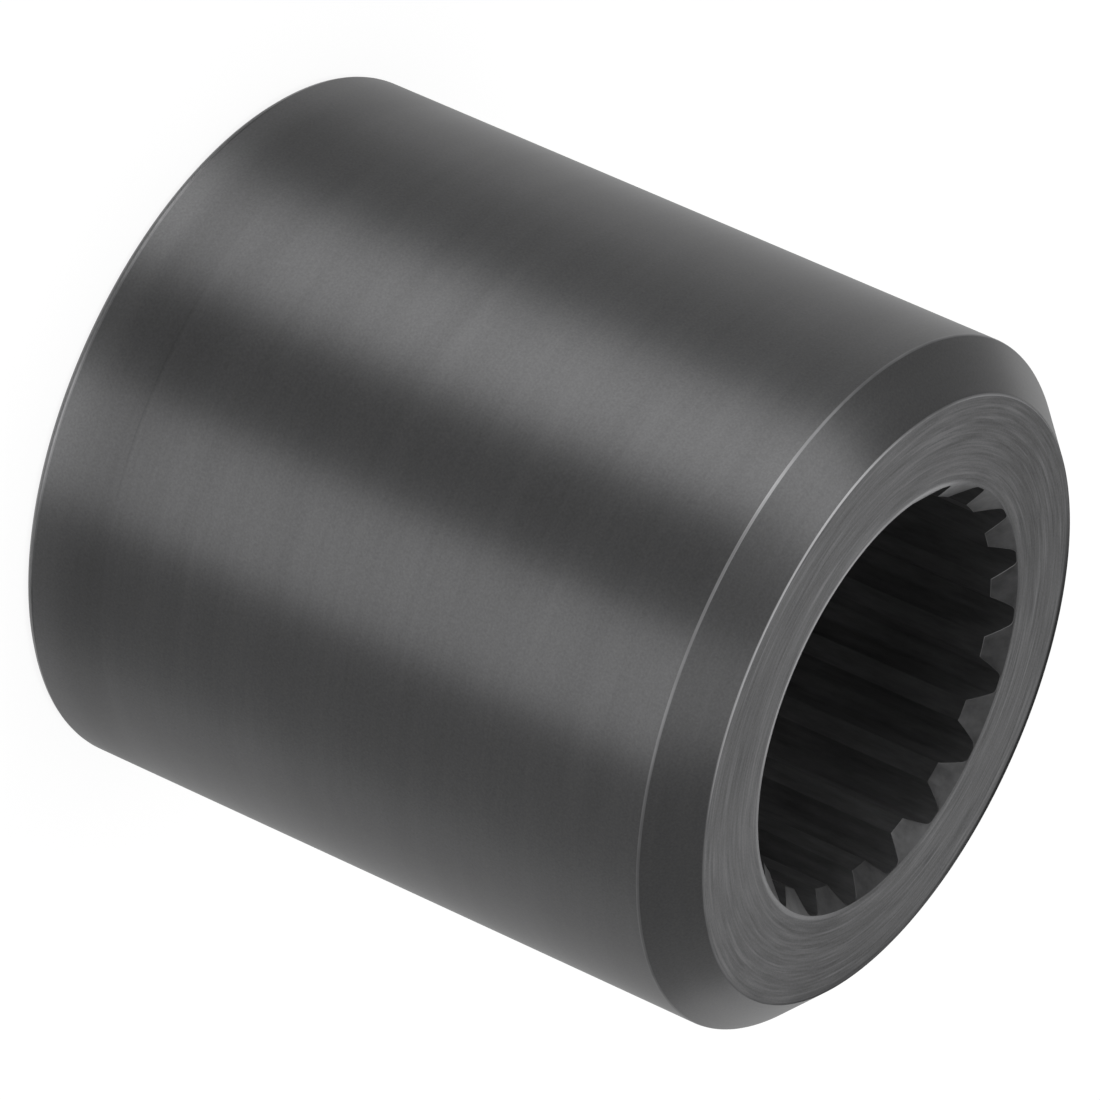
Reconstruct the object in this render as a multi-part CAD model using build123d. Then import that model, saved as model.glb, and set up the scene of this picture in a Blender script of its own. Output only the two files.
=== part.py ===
"""Spline coupling: a turned steel sleeve with an internal spline broached from end to end.

The sleeve stands on its plain end. Z is its axis and runs up to the end with the large chamfer.
The origin is the centre of the plain end face, and one spline groove is centred on +X.
Sizes are in millimetres and angles in degrees.
"""
import os
from math import acos, cos, degrees, pi, radians, sin, tan

from build123d import *

# Sleeve, turned from round bar
outer_diameter = 48.5
length = 52.0
nose_chamfer = 3.0  # each leg of the 45 degree chamfer round the upper end
edge_break = 0.5  # each leg of the small chamfer round the lower end

# Spline, an involute form with a fillet root
teeth = 19
module = 1.5  # pitch diameter divided by the number of teeth
pressure_angle = 37.5
tip_height = 0.55  # pitch circle in to the tooth tips
groove_depth = 0.75  # pitch circle out to the groove roots
root_fillet = 0.45

# Lead-in bevel at both mouths of the bore
lead_in_depth = 1.25  # along the axis
lead_in_margin = 0.05  # the bevel's rim lies this far outside the groove roots

# The broach is longer than the sleeve, and its teeth start inside the bore
broach_overrun = 2.0
broach_overlap = 0.4

# Followers
outer_radius = outer_diameter / 2
pitch_radius = module * teeth / 2
base_radius = pitch_radius * cos(radians(pressure_angle))
tip_radius = pitch_radius - tip_height
root_radius = pitch_radius + groove_depth
mouth_radius = root_radius + lead_in_margin


def involute(angle):
    """The involute function of an angle in radians."""
    return tan(angle) - angle


def slope_at(radius):
    """The angle in radians between the involute flank and the radius through the flank's point."""
    return acos(base_radius / radius)


def half_groove(radius):
    """Half the angle in radians that a groove spans at a radius. It is half of a pitch at the pitch circle."""
    return pi / (2 * teeth) + involute(radians(pressure_angle)) - involute(slope_at(radius))


def flank_point(radius, side):
    """A point of the groove centred on +X, on its flank towards +Y (side 1) or -Y (side -1)."""
    angle = side * half_groove(radius)
    return (radius * cos(angle), radius * sin(angle))


def fitting_fillet():
    """The root fillet, or the largest that the groove's floor has room for between its two corners."""
    lean = slope_at(root_radius) - half_groove(root_radius)
    corner_turn = radians(90) - lean
    half_floor = root_radius * sin(half_groove(root_radius))
    return min(root_fillet, 0.9 * half_floor / tan(corner_turn / 2))


def groove_outline():
    """The section of one groove: two involute flanks, a floor on the root circle and a filleted corner each side.

    A flank is so short that the arc through three of its points follows the involute to within two micrometres.
    """
    start_radius = tip_radius - broach_overlap
    middle_radius = (start_radius + root_radius) / 2
    flanks = [
        ThreePointArc(
            flank_point(start_radius, side), flank_point(middle_radius, side), flank_point(root_radius, side)
        )
        for side in (-1, 1)
    ]
    floor = ThreePointArc(flank_point(root_radius, -1), (root_radius, 0), flank_point(root_radius, 1))
    mouth = Line(flank_point(start_radius, -1), flank_point(start_radius, 1))
    outline = make_face([flanks[0], floor, flanks[1], mouth])
    corners = outline.vertices().sort_by(lambda vertex: vertex.center().length)[-2:]
    return fillet(corners, fitting_fillet())


def turned_blank():
    """The sleeve before broaching: its wall's section, with all four bevels, turned round the axis."""
    section = make_face(
        Polyline(
            (mouth_radius, 0, 0),
            (outer_radius - edge_break, 0, 0),
            (outer_radius, 0, edge_break),
            (outer_radius, 0, length - nose_chamfer),
            (outer_radius - nose_chamfer, 0, length),
            (mouth_radius, 0, length),
            (tip_radius, 0, length - lead_in_depth),
            (tip_radius, 0, lead_in_depth),
            close=True,
        )
    )
    return revolve(section, Axis.Z)


def broach_tooth():
    """The cutter of one groove, pulled right through the bore."""
    return Pos(0, 0, -broach_overrun) * extrude(groove_outline(), length + 2 * broach_overrun, dir=(0, 0, 1))


def coupling_sleeve():
    """The whole coupling, which is one piece of steel: the blank with its grooves cut, evenly spaced."""
    sleeve = turned_blank() - PolarLocations(0, teeth) * broach_tooth()
    sleeve.label = "coupling_sleeve"
    return sleeve


os.makedirs("parts", exist_ok=True)
export_step(coupling_sleeve(), "parts/coupling_sleeve.step")
print(f"tooth tips on a {2 * tip_radius:.2f} circle, groove roots on a {2 * root_radius:.2f} circle")
print(f"flank lean at the pitch circle {pressure_angle - degrees(half_groove(pitch_radius)):.1f} degrees")
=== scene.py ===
"""Spline coupling: the blackened steel sleeve on a pale studio floor.

The sleeve stands on its plain end, and its chamfered end is up. Z is its axis, and one spline
groove is centred on +X. The camera lies on its side, so in the picture the sleeve's axis runs down
to the right. Sizes are in metres. Angles are in radians, but the place of a card and the side that
a finish changes on are given in degrees.
"""
from math import acos, cos, hypot, pi, radians, sin, tan

import bmesh
import bpy
from mathutils import Matrix, Vector


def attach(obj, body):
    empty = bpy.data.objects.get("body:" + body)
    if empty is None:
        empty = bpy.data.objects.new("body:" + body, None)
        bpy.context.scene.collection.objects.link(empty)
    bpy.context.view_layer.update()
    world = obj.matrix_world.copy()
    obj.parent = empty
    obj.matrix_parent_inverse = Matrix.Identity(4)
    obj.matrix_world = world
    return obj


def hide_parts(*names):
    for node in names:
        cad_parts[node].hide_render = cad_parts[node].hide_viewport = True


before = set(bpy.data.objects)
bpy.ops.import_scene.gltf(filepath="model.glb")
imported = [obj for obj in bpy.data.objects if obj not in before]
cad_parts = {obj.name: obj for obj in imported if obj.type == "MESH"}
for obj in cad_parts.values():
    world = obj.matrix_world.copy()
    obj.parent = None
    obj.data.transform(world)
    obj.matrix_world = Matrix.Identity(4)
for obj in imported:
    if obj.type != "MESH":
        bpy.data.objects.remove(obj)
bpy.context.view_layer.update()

MM = 0.001
MICRON = 0.001 * MM

# Sleeve
OUTER_RADIUS = 24.25 * MM
LENGTH = 52.0 * MM
NOSE_CHAMFER = 3.0 * MM  # the large one, round the upper end
EDGE_BREAK = 0.5 * MM  # the small one, round the plain end
NOSE_RADIUS = OUTER_RADIUS - NOSE_CHAMFER
NOSE_HEIGHT = LENGTH - NOSE_CHAMFER

# Spline
TEETH = 19
PITCH_RADIUS = 14.25 * MM
PRESSURE_ANGLE = radians(37.5)
TIP_RADIUS = 13.7 * MM
ROOT_RADIUS = 15.0 * MM
ROOT_FILLET = 0.45 * MM
BASE_RADIUS = PITCH_RADIUS * cos(PRESSURE_ANGLE)

# Lead-in bevels at the mouths of the bore
MOUTH_RADIUS = 15.05 * MM
LEAD_IN_DEPTH = 1.25 * MM

# How far the sharp edges are worn round
RIM_ROUND = 0.11 * MM
FACE_ROUND = 0.1 * MM
BREAK_ROUND = 0.25 * MM
SEAT_ROUND = 0.06 * MM
MOUTH_ROUND = 0.03 * MM
TOOTH_ROUND = 0.03 * MM

# Mesh
OUTSIDE_STEPS = 360  # round the axis
FLOOR_STEPS, FLANK_STEPS, TIP_STEPS, FILLET_STEPS = 2, 5, 3, 4
LAND_RADIUS = MOUTH_RADIUS + 0.6 * MM  # the end faces' ring where bore and outside are joined
SAME_PLACE = 0.002 * MM  # points nearer to each other than this are one
ROOT_CORNER_TURN = radians(30)  # a groove's edge that turns by more gets the root fillet
TOOTH_EDGE_TURN = radians(25)  # a tooth's edge that turns by more is worn round
GROOVES_END = ROOT_RADIUS + 0.01 * MM  # the edges inside this radius are the teeth's
TOOTH_END = 1.5 * LEAD_IN_DEPTH  # how far from a mouth the worn edges are those of the tooth ends

# Camera
CAMERA_AZIMUTH = radians(-81.47)  # from +X, anticlockwise seen from above
CAMERA_ELEVATION = radians(26.769)
CAMERA_DISTANCE = 0.7813
CAMERA_ROLL = radians(113.89)
AIM = Vector((-0.019 * MM, -0.031 * MM, 25.045 * MM))
LENS, SENSOR = 388.6, 36.0  # in mm, as on a real camera

# Studio
CARD_DISTANCE = 0.6
CARD_STEPS = 16
FLOOR_SIZE = 6.0
FLOOR_GAP = 0.02 * MM  # below the plain end
PAPER = 0.9  # how much light the floor gives back
FLOOR_GLOW = 0.9  # how far the floor is plain white to the camera, whatever falls on it
LAMP_HEIGHT, LAMP_SIZE, LAMP_POWER = 1.2, 1.0, 14.0
ROOM_LEVEL = 0.7  # the room's light on things, where the white that the camera sees is 1
WHITE = (1, 1, 1, 1)


# ---------------------------------------------------------------- shader helpers


class Number:
    """An output of a node. Python's operators on one that is a number add Math nodes."""

    def __init__(self, bench, socket):
        self.bench, self.socket = bench, socket

    def maths(self, operation, *numbers):
        return self.bench.node("ShaderNodeMath", {"operation": operation}, dict(enumerate(numbers)))

    def __add__(self, other):
        return self.maths("ADD", self, other)

    def __sub__(self, other):
        return self.maths("SUBTRACT", self, other)

    def __rsub__(self, other):
        return self.maths("SUBTRACT", other, self)

    def __mul__(self, other):
        return self.maths("MULTIPLY", self, other)

    def __truediv__(self, other):
        return self.maths("DIVIDE", self, other)

    def __pow__(self, other):
        return self.maths("POWER", self, other)

    __radd__ = __add__
    __rmul__ = __mul__


class Bench:
    """The node tree of a material or of the world."""

    def __init__(self, owner):
        owner.use_nodes = True
        self.tree = owner.node_tree
        self.tree.nodes.clear()

    def node(self, kind, settings, sockets, output=0):
        """Adds a node, sets it up, gives its sockets values or links, and returns one output."""
        made = self.tree.nodes.new(kind)
        for name, value in settings.items():
            setattr(made, name, value)
        for name, value in sockets.items():
            if isinstance(value, Number):
                self.tree.links.new(value.socket, made.inputs[name])
            else:
                made.inputs[name].default_value = value
        return Number(self, made.outputs[output])

    def noise(self, place, scale, detail=2.0, roughness=0.5):
        sockets = {"Vector": place, "Scale": scale, "Detail": detail, "Roughness": roughness}
        return self.node("ShaderNodeTexNoise", {}, sockets)

    def step(self, value, start, end):
        """0 up to start, 1 from end on, smooth in between. It falls if end is less than start."""
        sockets = {"Value": value, "From Min": start, "From Max": end}
        return self.node("ShaderNodeMapRange", {"interpolation_type": "SMOOTHSTEP"}, sockets)

    def ray(self, kind):
        """1 for rays of this kind, and 0 for the others."""
        return self.node("ShaderNodeLightPath", {}, {}, "Is " + kind + " Ray")

    def glow(self, level):
        """An even brightness, where 1 is white."""
        return self.node("ShaderNodeEmission", {}, {"Color": WHITE, "Strength": level})

    def finish(self, shader, kind="ShaderNodeOutputMaterial"):
        self.tree.links.new(shader.socket, self.tree.nodes.new(kind).inputs["Surface"])


# ---------------------------------------------------------------- finishes

BLACK_OXIDE = 0.11  # brightness of the whole black finish
SATIN = 0.38  # roughness of the turned steel
COOL_WHITE = (0.985, 0.985, 1.0, 1.0)
BLACK = (0.0, 0.0, 0.0, 1.0)

# Noise, in patches to the metre
GRIT_SCALE = 6500.0
WEAR_SCALE = 420.0
BLOTCH_SCALE = 900.0
TURNED_CLOUDS, FACED_CLOUDS = 70.0, 90.0

# Depths of the marks
WEAR_DEPTH = 0.4 * MICRON
FEED_DEPTH = 0.4 * MICRON
FACING_DEPTH = 3.0 * MICRON
BEVEL_DEPTH = 2.0 * MICRON
BROACH_DEPTH = 0.8 * MICRON

# Which way the marks of a grain run, in turns
ROUND_AXIS = 0.25
ALONG_AXIS = 0.0

# Where one turning cut stopped and the next one started, near the plain end
CUT_END = 6.2 * MM


class Finish(Bench):
    """The bench of one of the sleeve's finishes, with the place on the sleeve."""

    def __init__(self, name):
        self.material = bpy.data.materials.new(name)
        super().__init__(self.material)
        self.place = self.node("ShaderNodeTexCoord", {}, {}, "Object")
        self.x, self.y, self.z = (
            self.node("ShaderNodeSeparateXYZ", {}, {"Vector": self.place}, axis) for axis in "XYZ"
        )
        self.radius = (self.x * self.x + self.y * self.y) ** 0.5

    def side(self, azimuth, start, end):
        """1 on one side of the sleeve, falling to 0 away from it.

        That side's azimuth is in degrees from the camera's. Start and end are cosines of the angle
        away from it: 0 up to start, and 1 from end on.
        """
        turn = CAMERA_AZIMUTH + radians(azimuth)
        return self.step((self.x * cos(turn) + self.y * sin(turn)) / self.radius, start, end)

    def marks(self, across, way, along, detail=2.0, roughness=0.5):
        """Noise drawn out by a tool.

        It has so many marks to the metre across, over x and y, and so many along its way, which is
        z or the radius.
        """
        spot = {"X": self.x * across, "Y": self.y * across, "Z": way * along}
        return self.noise(self.node("ShaderNodeCombineXYZ", {}, spot), 1.0, detail, roughness)

    def grit(self):
        """The fine grain of the blacking."""
        return self.noise(self.place, GRIT_SCALE, 1.0)

    def wear(self):
        """The patches that handling leaves on an edge."""
        return self.noise(self.place, WEAR_SCALE, 3.0, 0.6)

    def steel(
        self,
        level,
        roughness,
        marks,
        depth=WEAR_DEPTH,
        grain=0.6,
        grain_turn=ROUND_AXIS,
        metallic=1.0,
        graze=1.0,
    ):
        """Ends the finish as blackened steel, and returns its material.

        Level is its brightness. Marks of this depth break up its shine, and their grain draws it
        out across them. Graze is how much of the shine at glancing angles is left.
        """
        shades = {"Factor": level, "A": BLACK, "B": COOL_WHITE}
        relief = {"Strength": 1.0, "Distance": depth, "Height": marks}
        sockets = {
            "Base Color": self.node("ShaderNodeMix", {"data_type": "RGBA"}, shades, "Result"),
            "Metallic": metallic,
            "Roughness": roughness,
            "Specular Tint": (graze, graze, graze, 1.0),
            "Anisotropic": grain,
            "Anisotropic Rotation": grain_turn,
            "Normal": self.node("ShaderNodeBump", {}, relief, "Normal"),
        }
        self.finish(self.node("ShaderNodeBsdfPrincipled", {}, sockets))
        return self.material


def painted_dark_side(bench):
    """Painted dark reflection on a rim: 1 on the side away from the camera, 0 on the camera's side.
    """
    return 0.4 * bench.side(165, 0.3, 0.8) + 0.6 * bench.side(-170, 0.7, 0.97)


def turned_steel():
    """The outside: fine rings from the tool, a faint line between two cuts, and cloudy blacking."""
    bench = Finish("turned_steel")
    z = bench.z
    feed = bench.marks(45, z, 3500, 3.0, 0.6)
    streaks = bench.marks(60, z, 900)
    bands = bench.marks(50, z, 320)
    clouds = bench.noise(bench.place, TURNED_CLOUDS)

    past_cut = bench.step(z, CUT_END, CUT_END + 0.3 * MM)
    cut_line = bench.step(z, CUT_END - 0.05 * MM, CUT_END) * (1 - past_cut)
    cut_line = cut_line * bench.side(2, 0.93, 0.985)
    # painted reflection changes along the axis: lighter near the plain end, and darker from 3 to 14
    # mm up
    pale_end = bench.step(z, 4.0 * MM, 1.0 * MM)
    rough_end = bench.step(z, 8.0 * MM, 2.0 * MM)
    dark_band = bench.step(z, 3.0 * MM, 7.0 * MM) * bench.step(z, 14.0 * MM, 7.0 * MM)
    dark_band = dark_band * (1 - 0.45 * past_cut)

    level = 0.57 + 0.13 * feed + 0.12 * streaks + 0.18 * bands + 0.06 * clouds
    level = BLACK_OXIDE * (level + 0.38 * bench.grit())
    level = level * (1 - 0.1 * cut_line + 0.23 * pale_end - 0.11 * dark_band)
    roughness = SATIN - 0.03 + 0.04 * feed + 0.03 * clouds + 0.06 * rough_end
    return bench.steel(level, roughness, feed, FEED_DEPTH, grain=0.8)


def faced_steel():
    """The end faces: fine rings, a painted highlight with a small burr on the lip at the mouth,
    painted pale sectors, and a painted dark reflection inside the rim on the far side.
    """
    bench = Finish("faced_steel")
    radius = bench.radius
    rings = bench.marks(230, radius, 5800, 4.0, 0.7)
    scores = bench.step(bench.marks(110, radius, 3400), 0.52, 0.7)
    clouds = bench.noise(bench.place, FACED_CLOUDS)

    lip = bench.step(radius, MOUTH_RADIUS + 0.36 * MM, MOUTH_RADIUS + 0.14 * MM)
    # painted highlight on the lip, strongest towards the camera; it also raises the lip into a
    # small burr in the bump
    painted_sheen = 0.43 * bench.side(20, -0.3, 0.1) + 0.4 * bench.side(-8, 0.7, 0.95)
    painted_sheen = lip * (painted_sheen + 0.45 * bench.side(-60, 0.96, 0.995))
    # painted shade on the lip, on the side away from the camera
    painted_far_lip_shade = lip * bench.side(180, 0.0, 0.5)
    # painted dark reflection in a ring inside the face's outer rim, on the side away from the
    # camera
    rim = bench.step(radius, NOSE_RADIUS - 0.62 * MM, NOSE_RADIUS - 0.33 * MM) * painted_dark_side(bench)
    # painted light: paler sectors of the face, some only on its inner part
    inside = bench.step(radius, 18.0 * MM, 16.4 * MM)
    painted_pale_sides = inside * (0.1 * bench.side(15, 0.5, 0.9) + 0.11 * bench.side(-78, 0.85, 1.0))
    painted_pale_sides = painted_pale_sides + 0.2 * bench.side(-60, 0.75, 1.0) + 0.21 * bench.side(68, 0.7, 0.95)

    level = 1.7 * rings + 0.3 * scores + 0.1 * clouds + 0.55 * bench.grit()
    level = BLACK_OXIDE * (level + 2.1 * painted_sheen + painted_pale_sides - 0.2)
    level = level * (1 - 0.84 * rim) * (1 - 0.2 * painted_far_lip_shade)
    roughness = SATIN + 0.02 + 0.05 * rings
    return bench.steel(level, roughness, 0.1 * rings + 10 * painted_sheen, FACING_DEPTH, graze=0.75)


def bevelled_steel():
    """The lead-in bevels on the teeth, cut with a rougher tool and blacker than the faces, with
    painted sheen, a painted highlight and painted pale sides.
    """
    bench = Finish("bevelled_steel")
    blotches = bench.noise(bench.place, BLOTCH_SCALE, 3.0, 0.6)
    # painted sheen towards the camera, a painted highlight and painted pale sides on other sides
    painted_sheen = bench.side(0, -0.5, 0.2)
    painted_highlight = bench.side(-50, 0.8, 1.0)
    painted_pale_sides = bench.side(-128, 0.85, 0.98)
    level = BLACK_OXIDE * (0.25 + 0.65 * blotches) * (1 + 0.6 * painted_sheen + 3.8 * painted_highlight + 0.35 * painted_pale_sides)
    return bench.steel(level, SATIN + 0.05, blotches, BEVEL_DEPTH, grain=0.5)


def broached_steel():
    """The bore: fine lines along the axis, from the broach, under a thick black finish, with
    painted light and shade by side, depth and tooth shape.
    """
    bench = Finish("broached_steel")
    z, radius = bench.z, bench.radius
    lines = bench.marks(1500, z, 260, 4.0, 0.7)
    tips = bench.step(radius, PITCH_RADIUS, TIP_RADIUS)
    roots = bench.step(radius, ROOT_RADIUS - 0.3 * MM, ROOT_RADIUS - 0.05 * MM)
    # painted light on one side of the bore, and painted shade on the opposite side
    painted_light_side = bench.side(135, 0.75, 1.0)
    painted_shade_side = bench.side(-165, 0.75, 1.0)
    # painted light: lighter deep in the bore, more than 13 mm from either end
    deep = bench.step(z, 7.0 * MM, 13.0 * MM) * bench.step(z, LENGTH - 7.0 * MM, LENGTH - 13.0 * MM)
    # painted shade: darker on the tooth tips and in the groove roots
    level = BLACK_OXIDE * (0.3 + 0.9 * lines) * (1.08 - 0.13 * tips - 0.13 * roots)
    level = level * (0.98 + 0.45 * deep) * (1 + 0.28 * painted_light_side - 0.1 * painted_shade_side)
    roughness = 0.6 + 0.06 * lines
    return bench.steel(level, roughness, lines, BROACH_DEPTH, 0.3, ALONG_AXIS, metallic=0.93)


def rubbed_edge_and_glint():
    """The worn edges, where handling has rubbed the black finish thin and steel shines through,
    with a narrow painted highlight on one side.
    """
    bench = Finish("rubbed_edge_and_glint")
    wear = bench.wear()
    # worn patches, and a painted highlight in a narrow sector near the camera's side
    level = 0.13 + 0.1 * wear + 0.14 * bench.side(-13, 0.95, 1.0)
    return bench.steel(level, 0.4 + 0.05 * wear, wear)


def rim_wear_and_painted_light():
    """The rim of the chamfered end's face: worn patches, a painted highlight and painted pale sides
    towards the camera, and a painted dark reflection opposite.
    """
    bench = Finish("rim_wear_and_painted_light")
    wear = bench.wear()
    painted_highlight = bench.side(-8, 0.7, 0.95)
    painted_pale_sides = 0.6 * bench.side(-75, 0.5, 0.9) + 0.9 * bench.side(-90, 0.85, 0.98)
    painted_pale_sides = painted_pale_sides + 0.42 * bench.side(84, 0.9, 0.99)
    # painted highlight and pale sides towards the camera, and a painted dark reflection on the far
    # side
    level = BLACK_OXIDE * (0.8 + 0.5 * wear + 1.75 * painted_highlight + painted_pale_sides - 0.9 * painted_dark_side(bench))
    return bench.steel(level, 0.4, wear, graze=0.35)


def break_edge_wear_and_painted_light():
    """The small chamfer round the plain end, with worn patches and painted light: paler than the
    black finish, most on its upper rim and on the camera's side.
    """
    bench = Finish("break_edge_wear_and_painted_light")
    z, wear = bench.z, bench.wear()
    # painted highlight along the upper rim of the chamfer
    rim = bench.step(z, EDGE_BREAK + 0.18 * MM, EDGE_BREAK + 0.1 * MM)
    rim = rim * bench.step(z, EDGE_BREAK - 0.12 * MM, EDGE_BREAK + 0.04 * MM)
    # painted light on the camera's side
    painted_lit_side = 0.5 + 0.5 * bench.side(0, 0.72, 0.9)
    level = (0.17 + 0.17 * wear) * painted_lit_side * (0.8 + 0.75 * rim)
    return bench.steel(level, 0.4 + 0.05 * wear, wear)


def tooth_edge():
    """The edges of the tooth ends, with worn patches and painted light on one side."""
    bench = Finish("tooth_edge")
    wear = bench.wear()
    # painted light on one side
    level = BLACK_OXIDE * (0.4 + 0.4 * wear + 1.2 * bench.side(-100, 0.2, 0.9))
    return bench.steel(level, 0.42, wear)


FINISHES = (
    turned_steel,
    faced_steel,
    bevelled_steel,
    broached_steel,
    rubbed_edge_and_glint,
    rim_wear_and_painted_light,
    break_edge_wear_and_painted_light,
    tooth_edge,
)
TURNED, FACED, BEVELLED, BROACHED, RUBBED_AND_GLINT, RIM_WEAR_AND_PAINTED_LIGHT, BREAK_EDGE_PAINTED_LIGHT, TOOTH_EDGE = range(len(FINISHES))


# ---------------------------------------------------------------- the sleeve


def involute(angle):
    return tan(angle) - angle


def half_groove(radius):
    """Half the angle that a groove spans at a radius."""
    return pi / (2 * TEETH) + involute(PRESSURE_ANGLE) - involute(acos(BASE_RADIUS / radius))


def fillet_setback():
    """How far along the floor and the flank the root fillet starts from their corner."""
    lean = acos(BASE_RADIUS / ROOT_RADIUS) - half_groove(ROOT_RADIUS)
    return ROOT_FILLET * tan((pi / 2 - lean) / 2)


def at(radius, angle):
    return Vector((radius * cos(angle), radius * sin(angle), 0))


def radius_of(point):
    return hypot(point[0], point[1])


def steps_between(start, end, count):
    return [start + (end - start) * k / count for k in range(count + 1)]


def chain(bm, points):
    """New vertices at these points and the edges between them, as one list."""
    verts = [bm.verts.new(point) for point in points]
    return verts + [bm.edges.new(pair) for pair in zip(verts, verts[1:])]


def pulled(bm, edges):
    """Extrudes edges, and returns the new vertices, not yet moved."""
    made = bmesh.ops.extrude_edge_only(bm, edges=edges)["geom"]
    return [part for part in made if isinstance(part, bmesh.types.BMVert)]


def rounded(bm, edges, offset, segments, finish=None):
    """Bevels edges, gives the new faces a finish, and returns them."""
    faces = bmesh.ops.bevel(
        bm,
        geom=edges,
        offset=offset,
        offset_type="OFFSET",
        segments=segments,
        profile=0.5,
        affect="EDGES",
        clamp_overlap=True,
        material=-1,
    )["faces"]
    if finish is not None:
        for face in faces:
            face.material_index = finish
    return faces


def rim_edges(bm, radius, z):
    """The edges of the circle of this radius at this height."""
    return [
        edge
        for edge in bm.edges
        if all(
            abs(radius_of(vert.co) - radius) < SAME_PLACE and abs(vert.co.z - z) < SAME_PLACE
            for vert in edge.verts
        )
    ]


def groove_outline(bm):
    """The bore's section at its plain end: half a groove and half a tooth, mirrored, repeated."""
    floor_angles = steps_between(0, half_groove(ROOT_RADIUS), FLOOR_STEPS)
    flank_radii = steps_between(ROOT_RADIUS, TIP_RADIUS, FLANK_STEPS)
    tip_angles = steps_between(half_groove(TIP_RADIUS), pi / TEETH, TIP_STEPS)
    floor = [at(ROOT_RADIUS, angle) for angle in floor_angles]
    flank = [at(radius, half_groove(radius)) for radius in flank_radii]
    tip = [at(TIP_RADIUS, angle) for angle in tip_angles]
    half = chain(bm, floor + flank[1:] + tip[1:])
    bmesh.ops.mirror(bm, geom=half, axis="Y", merge_dist=SAME_PLACE)
    bmesh.ops.spin(
        bm,
        geom=bm.verts[:] + bm.edges[:],
        axis=(0, 0, 1),
        angle=2 * pi * (TEETH - 1) / TEETH,
        steps=TEETH - 1,
        use_duplicate=True,
    )
    bmesh.ops.remove_doubles(bm, verts=bm.verts, dist=SAME_PLACE)


def broached_bore(bm):
    """The splined wall of the bore, with filleted roots, and the lead-in cones up to the mouths."""
    groove_outline(bm)
    bmesh.ops.translate(bm, verts=pulled(bm, bm.edges[:]), vec=(0, 0, LENGTH))
    bmesh.ops.recalc_face_normals(bm, faces=bm.faces)
    root_corners = [
        edge
        for edge in bm.edges
        if len(edge.link_faces) == 2
        and edge.calc_face_angle() > ROOT_CORNER_TURN
        and radius_of(edge.verts[0].co) > PITCH_RADIUS
    ]
    rounded(bm, root_corners, fillet_setback(), FILLET_STEPS)
    slope = LEAD_IN_DEPTH / (MOUTH_RADIUS - TIP_RADIUS)
    for vert in bm.verts:
        depth = slope * (MOUTH_RADIUS - radius_of(vert.co))
        vert.co.z = depth if vert.co.z < LENGTH / 2 else LENGTH - depth
    for z in (0, LENGTH):
        rim = [
            edge
            for edge in bm.edges
            if edge.is_boundary and abs(edge.verts[0].co.z - z) < LENGTH / 2
        ]
        for vert in pulled(bm, rim):
            spot = vert.co.xy.normalized() * MOUTH_RADIUS
            vert.co = (spot.x, spot.y, z)


def turned_outside(bm):
    """The turned profile from one end face round the outside to the other, spun round the axis."""
    profile = [
        (LAND_RADIUS, 0),
        (OUTER_RADIUS - EDGE_BREAK, 0),
        (OUTER_RADIUS, EDGE_BREAK),
        (OUTER_RADIUS, NOSE_HEIGHT),
        (NOSE_RADIUS, LENGTH),
        (LAND_RADIUS, LENGTH),
    ]
    bmesh.ops.spin(
        bm,
        geom=chain(bm, [(radius, 0, z) for radius, z in profile]),
        axis=(0, 0, 1),
        angle=2 * pi,
        steps=OUTSIDE_STEPS,
        use_merge=True,
    )


def wear_edges(bm):
    """Rounds the rims, the mouths and the edges of the teeth, and gives them their own finishes."""
    for radius, z, offset, segments, finish in (
        (OUTER_RADIUS, NOSE_HEIGHT, RIM_ROUND, 3, RUBBED_AND_GLINT),
        (NOSE_RADIUS, LENGTH, FACE_ROUND, 3, RIM_WEAR_AND_PAINTED_LIGHT),
        (OUTER_RADIUS, EDGE_BREAK, BREAK_ROUND, 4, BREAK_EDGE_PAINTED_LIGHT),
        (OUTER_RADIUS - EDGE_BREAK, 0, SEAT_ROUND, 3, RUBBED_AND_GLINT),
        (MOUTH_RADIUS, 0, MOUTH_ROUND, 3, None),
        (MOUTH_RADIUS, LENGTH, MOUTH_ROUND, 3, None),
    ):
        rounded(bm, rim_edges(bm, radius, z), offset, segments, finish)
    tooth_edges = [
        edge
        for edge in bm.edges
        if all(radius_of(vert.co) < GROOVES_END for vert in edge.verts)
        and edge.calc_face_angle() > TOOTH_EDGE_TURN
    ]
    for face in rounded(bm, tooth_edges, TOOTH_ROUND, 2):
        z = face.calc_center_median().z
        if min(z, LENGTH - z) < TOOTH_END:
            face.material_index = TOOTH_EDGE


def give_finishes(bm):
    """Shades the faces smooth, and gives all but the worn edges the finish of their tool."""
    for face in bm.faces:
        face.smooth = True
        if face.material_index in (RUBBED_AND_GLINT, RIM_WEAR_AND_PAINTED_LIGHT, BREAK_EDGE_PAINTED_LIGHT, TOOTH_EDGE):
            continue
        middle = face.calc_center_median()
        upright = abs(face.normal.z)  # 1 on the end faces, 0 on the walls
        if upright > 0.9:
            face.material_index = FACED
        elif radius_of(middle) < MOUTH_RADIUS:
            face.material_index = BEVELLED if upright > 0.3 else BROACHED
        elif middle.z < EDGE_BREAK:
            face.material_index = BREAK_EDGE_PAINTED_LIGHT
        else:
            face.material_index = TURNED


def piece_of(bm, name, materials):
    """A piece made of a finished bmesh."""
    mesh = bpy.data.meshes.new(name)
    bm.to_mesh(mesh)
    bm.free()
    for material in materials:
        mesh.materials.append(material)
    piece = bpy.data.objects.new(name, mesh)
    bpy.context.collection.objects.link(piece)
    return piece


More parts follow.
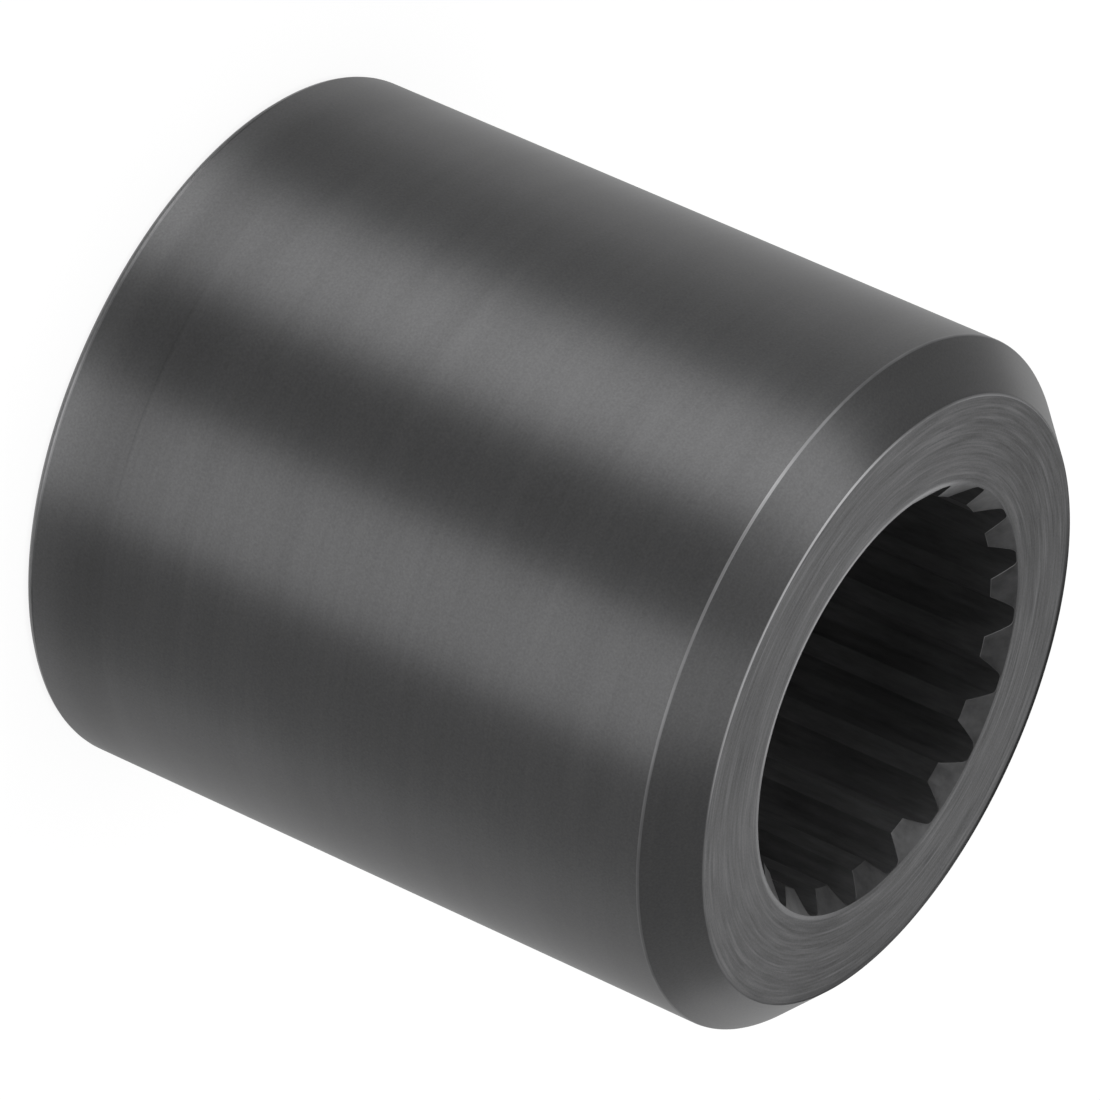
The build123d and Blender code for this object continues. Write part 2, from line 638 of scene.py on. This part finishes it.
def blackened_sleeve():
    """The whole coupling, with its rims, mouths and tooth ends worn round."""
    bm = bmesh.new()
    broached_bore(bm)
    turned_outside(bm)
    for z in (0, LENGTH):
        rims = rim_edges(bm, MOUTH_RADIUS, z) + rim_edges(bm, LAND_RADIUS, z)
        bmesh.ops.bridge_loops(bm, edges=rims)
    bmesh.ops.recalc_face_normals(bm, faces=bm.faces)
    wear_edges(bm)
    give_finishes(bm)
    sleeve = piece_of(bm, "blackened_sleeve", [finish() for finish in FINISHES])
    sleeve.modifiers.new("flat_faces_stay_flat", "WEIGHTED_NORMAL")
    return sleeve


# ---------------------------------------------------------------- camera and studio


def toward(azimuth, elevation):
    """The direction from the sleeve at an azimuth from the camera's side and an elevation."""
    turn = CAMERA_AZIMUTH + azimuth
    return Vector((cos(turn) * cos(elevation), sin(turn) * cos(elevation), sin(elevation)))


def photo_camera():
    """The camera, aimed at the sleeve's middle and rolled onto its side."""
    camera = bpy.data.objects.new("camera", bpy.data.cameras.new("camera"))
    camera.data.sensor_width = SENSOR
    camera.data.lens = LENS
    back = toward(0, CAMERA_ELEVATION)
    aimed = (-back).to_track_quat("-Z", "Y").to_matrix().to_4x4()
    turned = aimed @ Matrix.Rotation(CAMERA_ROLL, 4, "Z")
    camera.matrix_world = Matrix.Translation(AIM + back * CAMERA_DISTANCE) @ turned
    bpy.context.collection.objects.link(camera)
    bpy.context.scene.camera = camera


def stage_piece(name, bm, material):
    """A piece of the studio, which isn't part of the sleeve."""
    piece = piece_of(bm, name, [material])
    return piece


def hang_card(name, bm, level):
    """Ends a card: it glows evenly, and only reflections see it."""
    material = bpy.data.materials.new(name)
    bench = Bench(material)
    bench.finish(bench.glow(level))
    card = stage_piece(name, bm, material)
    for kind in ("camera", "diffuse", "transmission", "volume_scatter", "shadow"):
        setattr(card, "visible_" + kind, False)


def curtain(name, distance, level, azimuths, elevations):
    """A card curved like a part of a ball round the sleeve."""
    bm = bmesh.new()
    start, end, bottom, top = map(radians, azimuths + elevations)
    away = distance * CARD_DISTANCE
    rises = steps_between(bottom, top, CARD_STEPS)
    edge = chain(bm, [AIM + toward(start, rise) * away for rise in rises])
    bmesh.ops.spin(bm, geom=edge, axis=(0, 0, 1), angle=end - start, steps=3 * CARD_STEPS)
    hang_card(name, bm, level)


def strip_light(name, distance, level, azimuth, width, elevations, lean):
    """A long upright soft light, leaning to one side and curved round the sleeve."""
    bm = bmesh.new()
    azimuth, width, lean, bottom, top = map(radians, (azimuth, width, lean) + elevations)
    forward, across, up = toward(azimuth, 0), toward(azimuth + pi / 2, 0), Vector((0, 0, 1))
    corners = []
    for side, rise in ((-1, bottom), (1, bottom), (1, top), (-1, top)):
        sideways = side * tan(width / 2) + tan(lean) * tan(rise)
        corners.append(bm.verts.new(forward + across * sideways + up * tan(rise)))
    bm.faces.new(corners)
    bmesh.ops.subdivide_edges(bm, edges=bm.edges, cuts=CARD_STEPS, use_grid_fill=True)
    for vert in bm.verts:
        vert.co = AIM + vert.co.normalized() * distance * CARD_DISTANCE
    hang_card(name, bm, level)


def round_softbox(name, distance, level, azimuth, elevation, width):
    """A round soft light that faces the sleeve."""
    bm = bmesh.new()
    azimuth, elevation, width = map(radians, (azimuth, elevation, width))
    direction = toward(azimuth, elevation)
    away = distance * CARD_DISTANCE
    radius = away * tan(width / 2)
    bmesh.ops.create_circle(bm, cap_ends=True, segments=4 * CARD_STEPS, radius=radius)
    turned = direction.to_track_quat("Z", "Y").to_matrix().to_4x4()
    hung = Matrix.Translation(AIM + direction * away) @ turned
    bmesh.ops.transform(bm, verts=bm.verts, matrix=hung)
    hang_card(name, bm, level)


def cards():
    """What the steel mirrors: lights, flags and curtains.

    Each is given its distance in card distances, its level, where 1 is white, and its place in
    degrees, with azimuths from the camera's side. A nearer card hides what is behind it.
    """
    round_softbox("far_softbox", 1.6, 1.6, azimuth=163.5, elevation=62.5, width=90)
    curtain("dark_table", 1.5, 0.05, (-127.5, 111.5), (-89, -22))
    curtain("grey_curtain", 1.4, 0.77, (-180, 180), (-36, 32))
    curtain("low_flag", 1.3, 0.02, (169, 191), (-8, 24))
    curtain("left_flag", 1.2, 0.38, (-153, -40), (1, 52))
    curtain("right_flag", 1.1, 0.32, (-39, 138), (-5.5, 85))
    strip_light("left_strip", 1.0, 2.14, azimuth=-54, width=36.5, elevations=(-48, 56), lean=-8.5)
    curtain("right_corner", 1.35, 0.66, (140, 164), (-36, -12))
    strip_light("right_strip", 1.0, 1.5, azimuth=26.2, width=40.6, elevations=(-65, 61.5), lean=-2)


def white_floor():
    """White to the camera but for the sleeve's shadow, and unseen by reflections and from below."""
    bm = bmesh.new()
    bmesh.ops.create_grid(bm, x_segments=1, y_segments=1, size=FLOOR_SIZE / 2)
    bmesh.ops.translate(bm, verts=bm.verts, vec=(0, 0, -FLOOR_GAP))
    material = bpy.data.materials.new("white_floor")
    bench = Bench(material)
    paper = bench.node("ShaderNodeBsdfDiffuse", {}, {"Color": (PAPER, PAPER, PAPER, 1)})
    glowing = FLOOR_GLOW * bench.ray("Camera")
    surface = bench.node("ShaderNodeMixShader", {}, {0: glowing, 1: paper, 2: bench.glow(1.0)})
    below = bench.node("ShaderNodeNewGeometry", {}, {}, "Backfacing")
    see_through = bench.node("ShaderNodeClamp", {}, {"Value": bench.ray("Glossy") + below})
    clear = bench.node("ShaderNodeBsdfTransparent", {}, {})
    bench.finish(bench.node("ShaderNodeMixShader", {}, {0: see_through, 1: surface, 2: clear}))
    stage_piece("white_floor", bm, material)


def overhead_softbox():
    """The one lamp, which reflections don't see."""
    lamp = bpy.data.lights.new("softbox", "AREA")
    lamp.shape = "SQUARE"
    lamp.size = LAMP_SIZE
    lamp.energy = LAMP_POWER
    softbox = bpy.data.objects.new("softbox", lamp)
    softbox.location = (0, 0, LAMP_HEIGHT)
    softbox.visible_glossy = False
    bpy.context.collection.objects.link(softbox)


def pale_room():
    """White where the camera looks, directly, in a mirror or through glass, and dimmer as light."""
    world = bpy.data.worlds.new("studio")
    bench = Bench(world)
    looks = bench.ray("Camera") + bench.ray("Glossy") + bench.ray("Transmission")
    level = ROOM_LEVEL + (1 - ROOM_LEVEL) * bench.node("ShaderNodeClamp", {}, {"Value": looks})
    background = bench.node("ShaderNodeBackground", {}, {"Color": WHITE, "Strength": level})
    bench.finish(background, "ShaderNodeOutputWorld")
    bpy.context.scene.world = world


photo_camera()
sleeve = blackened_sleeve()
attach(sleeve, "root")
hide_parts("coupling_sleeve")
white_floor()
cards()
overhead_softbox()
pale_room()
bpy.context.scene.view_settings.view_transform = "Standard"
